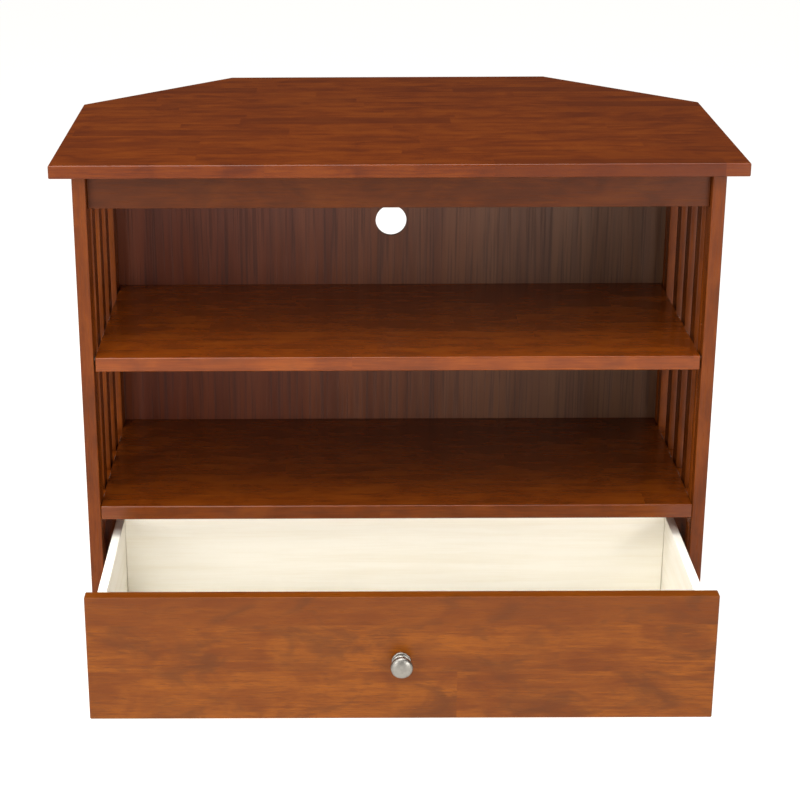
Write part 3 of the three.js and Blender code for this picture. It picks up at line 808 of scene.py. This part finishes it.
two_rows = ball_tree()
BALL, BALL_PITCH, BALLS = 3.5 * MM, 15 * MM, 8
CAGE_STEEL, CAGE_BEND = 0.5 * MM, 1.2 * MM
for side, sign in SIDES:
    fixed, middle, moving = (f"{side}_slide_{part}_member" for part in ("fixed", "middle", "drawer"))
    runs = {"outer": (near(fixed, sign, "drawer") + near(middle, sign, "frame")) / 2,
            "inner": (near(middle, sign, "drawer") + near(moving, sign, "frame")) / 2}
    for which, ball_x in runs.items():
        node = f"{side}_slide_{which}_cage"
        body = f"{side}_{which}_cage"
        low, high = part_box(node)
        rows_at = (low.z + BALL / 2, high.z - BALL / 2)
        section = channel_section(near(node, sign, "frame"), near(node, sign, "drawer"),
                                  rows_at[0] - CAGE_STEEL / 2, rows_at[1] + CAGE_STEEL / 2,
                                  CAGE_STEEL, CAGE_BEND)
        strip = bpy.data.objects.new(node + "_strip", swept(node, section, low.y, high.y))
        bpy.context.scene.collection.objects.link(strip)
        strip.data.shade_smooth()
        strip.data.set_sharp_from_angle(angle=math.radians(40))
        strip.data.materials.append(strip_steel)
        hand_over(strip, body, "retainer_steel", node)
        balls = grown(node + "_balls", bpy.data.meshes.new("balls"), two_rows, count=BALLS, pitch=BALL_PITCH,
                      first=(low.y + high.y - (BALLS - 1) * BALL_PITCH) / 2, centre=ball_x,
                      low=rows_at[0], high=rows_at[1], ball=BALL / 2, material=zinc)
        hand_over(balls, body, "retainer_steel")
print("cages of", 2 * BALLS, "balls", [round(v, 4) for v in strip.dimensions])

# %% [markdown]
# ## Small fittings
#
# Shelf pins, angles, glides and the knob's screw already have their shape in the engineering model. Each
# needs only its edges rounded, as rolling, turning or moulding leaves them, and its finish.

# %% Pins, angles, glides and the knob's screw
for side in ("left", "right"):
    for place in ("front", "rear"):
        painted_copy(f"shelf_pin_{side}_{place}", "cabinet", zinc, "zinc_steel", 0.4 * MM, 0.5 * MM)
        painted_copy(f"{side}_{place}_glide", "cabinet", nylon, "nylon", 0.2 * MM, 15 * MM)
    for i in (1, 2):
        painted_copy(f"{side}_top_angle_{i}", "cabinet", zinc, "zinc_steel", 0.6 * MM, 10 * MM)
painted_copy("knob_screw", "drawer", zinc, "zinc_steel", 0.2 * MM, 15 * MM)
print("small fittings made")

# %% [markdown]
# ## Screws
#
# Screws hold the back panel, the angles under the top, the slides and the drawer's front. All have a low
# domed head with a cross recess. The tree makes one head, squashes it from a sphere, cuts the cross, and
# sets it on every point of a bare mesh; each point says which way its screw faces, and a seeded random
# turn about that axis keeps the crosses from lining up, as they never do by hand.


# %% Screw tree
def screw_tree():
    """One cross-recess head, set on every point of a bare mesh and turned to face its own way."""
    tree, given = new_tree("screw_heads", diameter=0.007, height=0.002, recess=0.004, slot=0.0008, seed=1,
                           material="")
    across = add(tree, "ShaderNodeMath", {0: given["diameter"], 1: 0.5}, operation="MULTIPLY").outputs[0]
    ball = add(tree, "GeometryNodeMeshUVSphere", {"Segments": 24, "Rings": 16, "Radius": 1.0})
    size = add(tree, "ShaderNodeCombineXYZ", {0: across, 1: across, 2: given["height"]})
    dome = add(tree, "GeometryNodeTransform", {0: ball.outputs[0], "Scale": size.outputs[0]})
    block = add(tree, "GeometryNodeMeshCube", {"Size": (0.1, 0.1, 0.1)})
    below = add(tree, "GeometryNodeTransform", {0: block.outputs[0], "Translation": (0.0, 0.0, -0.05)})
    depth = add(tree, "ShaderNodeMath", {0: given["height"], 1: 1.3}, operation="MULTIPLY").outputs[0]
    lift = add(tree, "ShaderNodeCombineXYZ", {2: given["height"]})
    tools = [below.outputs[0]]
    for x, y in ((given["recess"], given["slot"]), (given["slot"], given["recess"])):
        arm = add(tree, "ShaderNodeCombineXYZ", {0: x, 1: y, 2: depth})
        cutter = add(tree, "GeometryNodeMeshCube", {"Size": arm.outputs[0]})
        tools.append(add(tree, "GeometryNodeTransform",
                         {0: cutter.outputs[0], "Translation": lift.outputs[0]}).outputs[0])
    cut = add(tree, "GeometryNodeMeshBoolean", {0: dome.outputs[0]}, operation="DIFFERENCE",
              solver="EXACT")
    for tool in tools:
        tree.links.new(tool, cut.inputs[1])
    facing = add(tree, "GeometryNodeInputNamedAttribute", {0: "facing"}, data_type="FLOAT_VECTOR")
    aim = add(tree, "FunctionNodeAlignRotationToVector", {"Vector": facing.outputs[0]}, axis="Z")
    turn = add(tree, "FunctionNodeRandomValue", {2: 0.0, 3: 2 * math.pi, "Seed": given["seed"]},
               data_type="FLOAT")
    spin = add(tree, "FunctionNodeAxisAngleToRotation", {0: (0.0, 0.0, 1.0), 1: turn.outputs[1]})
    aimed = add(tree, "FunctionNodeRotateRotation", {0: aim.outputs[0], 1: spin.outputs[0]},
                rotation_space="LOCAL")
    points = add(tree, "GeometryNodeMeshToPoints", {0: given["Geometry"]})
    heads = add(tree, "GeometryNodeInstanceOnPoints", {0: points.outputs[0], 2: cut.outputs[0],
                                                       5: aimed.outputs[0]})
    close_tree(tree, given, heads.outputs[0])
    return tree


screw_heads = screw_tree()


def screws(name, body, places, diameter, height, seed):
    """Screw heads at places, a list of (point, direction that the head faces)."""
    mesh = bpy.data.meshes.new(name)
    mesh.from_pydata([point for point, _ in places], [], [])
    facing = mesh.attributes.new("facing", "FLOAT_VECTOR", "POINT")
    for value, (_, direction) in zip(facing.data, places):
        value.vector = direction
    piece = grown(name, mesh, screw_heads, diameter=diameter, height=height, recess=0.62 * diameter,
                  slot=0.14 * diameter, seed=seed, material=zinc)
    hand_over(piece, body, "zinc_steel")
    print(name, len(places), "heads", [round(v, 4) for v in piece.dimensions])


# %% Where the screws are
def evenly(start, end, count):
    """count numbers from start to end at one pitch."""
    return [start + (end - start) * i / (count - 1) for i in range(count)]


low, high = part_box("back_panel")
rail_low, rail_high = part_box("rear_top_rail")
foot_low, foot_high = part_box("rear_bottom_rail")
stile_low, stile_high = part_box("right_rear_stile")
rear = (0.0, 1.0, 0.0)
edge_x = (stile_low.x + stile_high.x) / 2
outermost, foot_margin, top_margin = 0.32, 0.06, 0.03
places = []
for rail_z in ((rail_low.z + rail_high.z) / 2, (foot_low.z + foot_high.z) / 2):
    places += [((x, high.y, rail_z), rear) for x in evenly(-outermost, outermost, 5)]
places += [((sign * edge_x, high.y, z), rear) for sign in (-1, 1)
           for z in evenly(low.z + foot_margin, high.z - top_margin, 6)]
screws("back_panel_screws", "cabinet", places, 7 * MM, 1.8 * MM, 3)

places = []
angle_steel, from_corner = 2 * MM, 15 * MM
for side, sign in SIDES:
    for i in (1, 2):
        low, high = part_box(f"{side}_top_angle_{i}")
        face = near(f"{side}_top_angle_{i}", sign, "frame")
        y = (low.y + high.y) / 2
        places.append(((face - sign * angle_steel, y, high.z - from_corner), (-sign, 0.0, 0.0)))
        places.append(((face - sign * from_corner, y, high.z - angle_steel), (0.0, 0.0, -1.0)))
screws("top_angle_screws", "cabinet", places, 8 * MM, 2.2 * MM, 4)

places = []
for side, sign in SIDES:
    node = f"{side}_slide_drawer_member"
    first, pitch = hole_row(node)
    low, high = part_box(node)
    web = near(node, sign, "drawer") + sign * STEEL
    places += [((web, first + i * pitch, (low.z + high.z) / 2), (float(sign), 0.0, 0.0))
               for i in SCREWED_HOLES]
screws("slide_screws", "drawer", places, 6.4 * MM, 1.9 * MM, 5)

low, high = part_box("drawer_box_front")
inside = (0.0, 1.0, 0.0)
screw_x = 0.27
places = [((x, high.y, z), inside) for x in (-screw_x, screw_x) for z in (low.z + 0.04, high.z - 0.03)]
screws("drawer_front_screws", "drawer", places, 8 * MM, 2.2 * MM, 6)

# %% [markdown]
# ## Floor and light
#
# The studio is plain: a pale floor that glows faintly, as a lit acrylic sheet does, so that shadows on it
# stay light. One soft box hangs overhead, one stands high at the front left and one at the left, and a low
# pair stands wide of the lens, so that no lacquered face mirrors a box straight back. Two weak suns from
# behind keep the rear from going black. Area lights were chosen for the front because they fall off with
# distance, which leaves the shelves' depths darker, as a real soft box does.

# %% Floor
floor_mesh = bpy.data.meshes.new("floor")
floor_half = 40.0
floor_mesh.from_pydata([(x * floor_half, y * floor_half, 0) for x, y in ((-1, -1), (1, -1), (1, 1), (-1, 1))],
                       [], [(0, 1, 2, 3)])
floor = bpy.data.objects.new("floor", floor_mesh)
bpy.context.scene.collection.objects.link(floor)
pale = bpy.data.materials.new("pale_lit_acrylic")
pale.use_nodes = True
pale_shader = pale.node_tree.nodes["Principled BSDF"]
pale_shader.inputs["Base Color"].default_value = linear("#a09e9b")
pale_shader.inputs["Roughness"].default_value = 0.8
pale_shader.inputs["Specular IOR Level"].default_value = 0.1
pale_shader.inputs["Emission Color"].default_value = linear("#fffefc")
pale_shader.inputs["Emission Strength"].default_value = 0.9
floor_mesh.materials.append(pale)
print("floor", 2 * floor_half, "m square")


# %% Lights
def hung(data, azimuth, elevation, distance=0.0, target=(0.0, 0.0, 0.0)):
    """Hang a light off a target and aim it there: azimuth 0 is the front and 90 the right, in degrees."""
    lamp = bpy.data.objects.new(data.name, data)
    across, up = math.radians(azimuth), math.radians(elevation)
    towards = Vector((math.sin(across) * math.cos(up), -math.cos(across) * math.cos(up), math.sin(up)))
    lamp.location = Vector(target) + towards * distance
    lamp.rotation_mode = "QUATERNION"
    lamp.rotation_quaternion = towards.to_track_quat("Z", "Y")
    bpy.context.scene.collection.objects.link(lamp)


def soft_sun(name, azimuth, elevation, spread_angle, strength):
    """A broad light from a direction."""
    data = bpy.data.lights.new(name, "SUN")
    data.angle = math.radians(spread_angle)
    data.energy = strength
    hung(data, azimuth, elevation)


def soft_box(name, azimuth, elevation, distance, side, power, target):
    """A square soft box of side metres and power watts."""
    data = bpy.data.lights.new(name, "AREA")
    data.shape = "SQUARE"
    data.size = side
    data.energy = power
    hung(data, azimuth, elevation, distance, target)


# name, azimuth, elevation, distance, side, power, target
soft_box("overhead", 0, 82, 2.9, 2.2, 108.0, (0.0, -0.1, 0.5))
soft_box("low_front_right", 32, 8, 3.2, 1.2, 40.0, (0.0, -0.1, 0.35))
soft_box("low_front_left", -34, 8, 3.2, 1.2, 34.0, (0.0, -0.1, 0.35))
soft_box("high_front_left", -24, 46, 2.6, 1.6, 40.0, (-0.1, -0.1, 0.4))
soft_box("left_edge", -80, 30, 3.0, 1.8, 24.0, (0.0, -0.1, 0.4))
# name, azimuth, elevation, spread, strength
soft_sun("back_left", -125, 35, 45, 0.5)
soft_sun("back_right", 125, 35, 45, 0.5)

# %% World
world = bpy.data.worlds.new("studio")
bpy.context.scene.world = world
world.use_nodes = True
sky = world.node_tree
seen = add(sky, "ShaderNodeLightPath").outputs["Is Camera Ray"]
room = add(sky, "ShaderNodeBackground", {0: linear("#f4f2ee"), 1: 0.05})
backdrop = add(sky, "ShaderNodeBackground", {0: linear("#ffffff"), 1: 1.0})
both = add(sky, "ShaderNodeMixShader", {0: seen, 1: room.outputs[0], 2: backdrop.outputs[0]})
sky.links.new(both.outputs[0], sky.nodes["World Output"].inputs[0])
bpy.context.scene.view_settings.view_transform = "Standard"
print("world", world.name)
